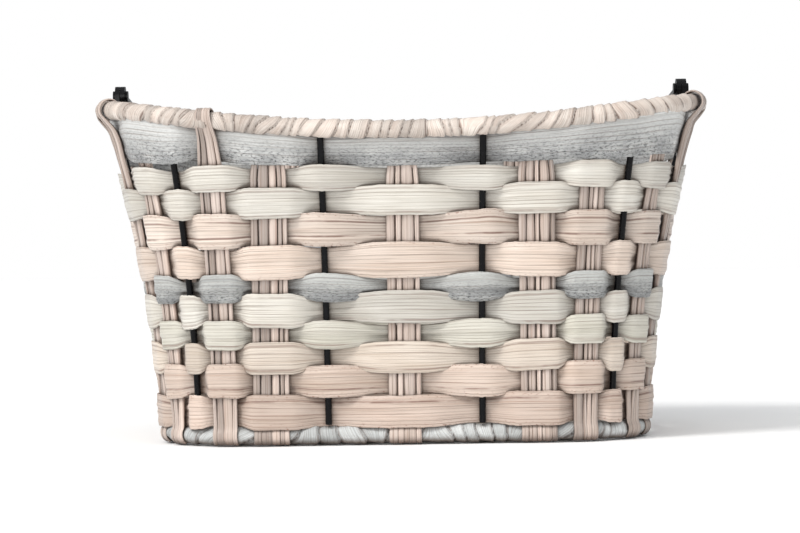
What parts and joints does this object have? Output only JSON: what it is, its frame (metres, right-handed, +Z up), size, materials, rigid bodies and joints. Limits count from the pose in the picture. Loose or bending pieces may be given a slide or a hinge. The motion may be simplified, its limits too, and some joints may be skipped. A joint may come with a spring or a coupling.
{
  "type": "handlebar basket",
  "caption": "Woven leaf basket on a coated wire frame, saddle-shaped wrapped rim, folding wire carry handle and two lined hooks for a bicycle handlebar.",
  "frame": {"origin": "on the ground in the middle of the ring that the base binding stands on", "axes": "+X along the length of the basket and of the handlebar, +Y towards the handlebar and rider, +Z up"},
  "size_m": [0.381, 0.3281, 0.227],
  "materials": {
    "leaf_grey": "satin",
    "leaf_cream": "satin",
    "leaf_peach": "satin",
    "leaf_tan": "satin",
    "straw_stake": "satin",
    "rim_leaf": "satin",
    "binding_leaf": "satin",
    "black_coated_wire": "semi-gloss",
    "black_rubber": "matte",
    "zinc_steel": "satin"
  },
  "bodies": {
    "basket": {"back_left_corner_stake_a": "straw_stake", "back_left_corner_stake_b": "straw_stake", "back_left_corner_wire": "black_coated_wire", "back_left_inner_stake": "straw_stake", "back_left_inner_wire": "black_coated_wire", "back_left_outer_stake": "straw_stake", "back_left_side_stake": "straw_stake", "back_middle": "straw_stake", "back_right_corner_stake_a": "straw_stake", "back_right_corner_stake_b": "straw_stake", "back_right_corner_wire": "black_coated_wire", "back_right_inner_stake": "straw_stake", "back_right_inner_wire": "black_coated_wire", "back_right_outer_stake": "straw_stake", "back_right_side_stake": "straw_stake", "base_binding": "binding_leaf", "base_cross_slats": "leaf_tan", "base_cross_wires": "black_coated_wire", "base_long_strips": "leaf_tan", "base_ring_wire": "black_coated_wire", "front_left_corner_stake_a": "straw_stake", "front_left_corner_stake_b": "straw_stake", "front_left_corner_wire": "black_coated_wire", "front_left_inner_stake": "straw_stake", "front_left_inner_wire": "black_coated_wire", "front_left_outer_stake": "straw_stake", "front_left_side_stake": "straw_stake", "front_middle": "straw_stake", "front_right_corner_stake_a": "straw_stake", "front_right_corner_stake_b": "straw_stake", "front_right_corner_wire": "black_coated_wire", "front_right_inner_stake": "straw_stake", "front_right_inner_wire": "black_coated_wire", "front_right_outer_stake": "straw_stake", "front_right_side_stake": "straw_stake", "handle_eyes": "black_coated_wire", "hook_backing_plates": "zinc_steel", "hook_left": "zinc_steel", "hook_liners": "black_rubber", "hook_nuts": "zinc_steel", "hook_right": "zinc_steel", "hook_screws": "zinc_steel", "left_side_wire": "black_coated_wire", "pivot_rivets": "black_coated_wire", "right_side_wire": "black_coated_wire", "rim_wire": "black_coated_wire", "rim_wrap": "rim_leaf", "weaver_row_01": "leaf_grey", "weaver_row_02": "leaf_cream", "weaver_row_03": "leaf_cream", "weaver_row_04": "leaf_peach", "weaver_row_05": "leaf_peach", "weaver_row_06": "leaf_grey", "weaver_row_07": "leaf_cream", "weaver_row_08": "leaf_cream", "weaver_row_09": "leaf_peach", "weaver_row_10": "leaf_peach", "weaver_row_11": "leaf_tan"},
    "handle": {"carry_handle": "black_coated_wire", "handle_grip": "black_rubber"}
  },
  "joints": [
    {"name": "carry_handle_swing", "type": "hinge", "parent": "basket", "child": "handle", "pos_m": [0, 0, 0.2205], "axis": [1, 0, 0], "range_deg": [0, 172]}
  ]
}
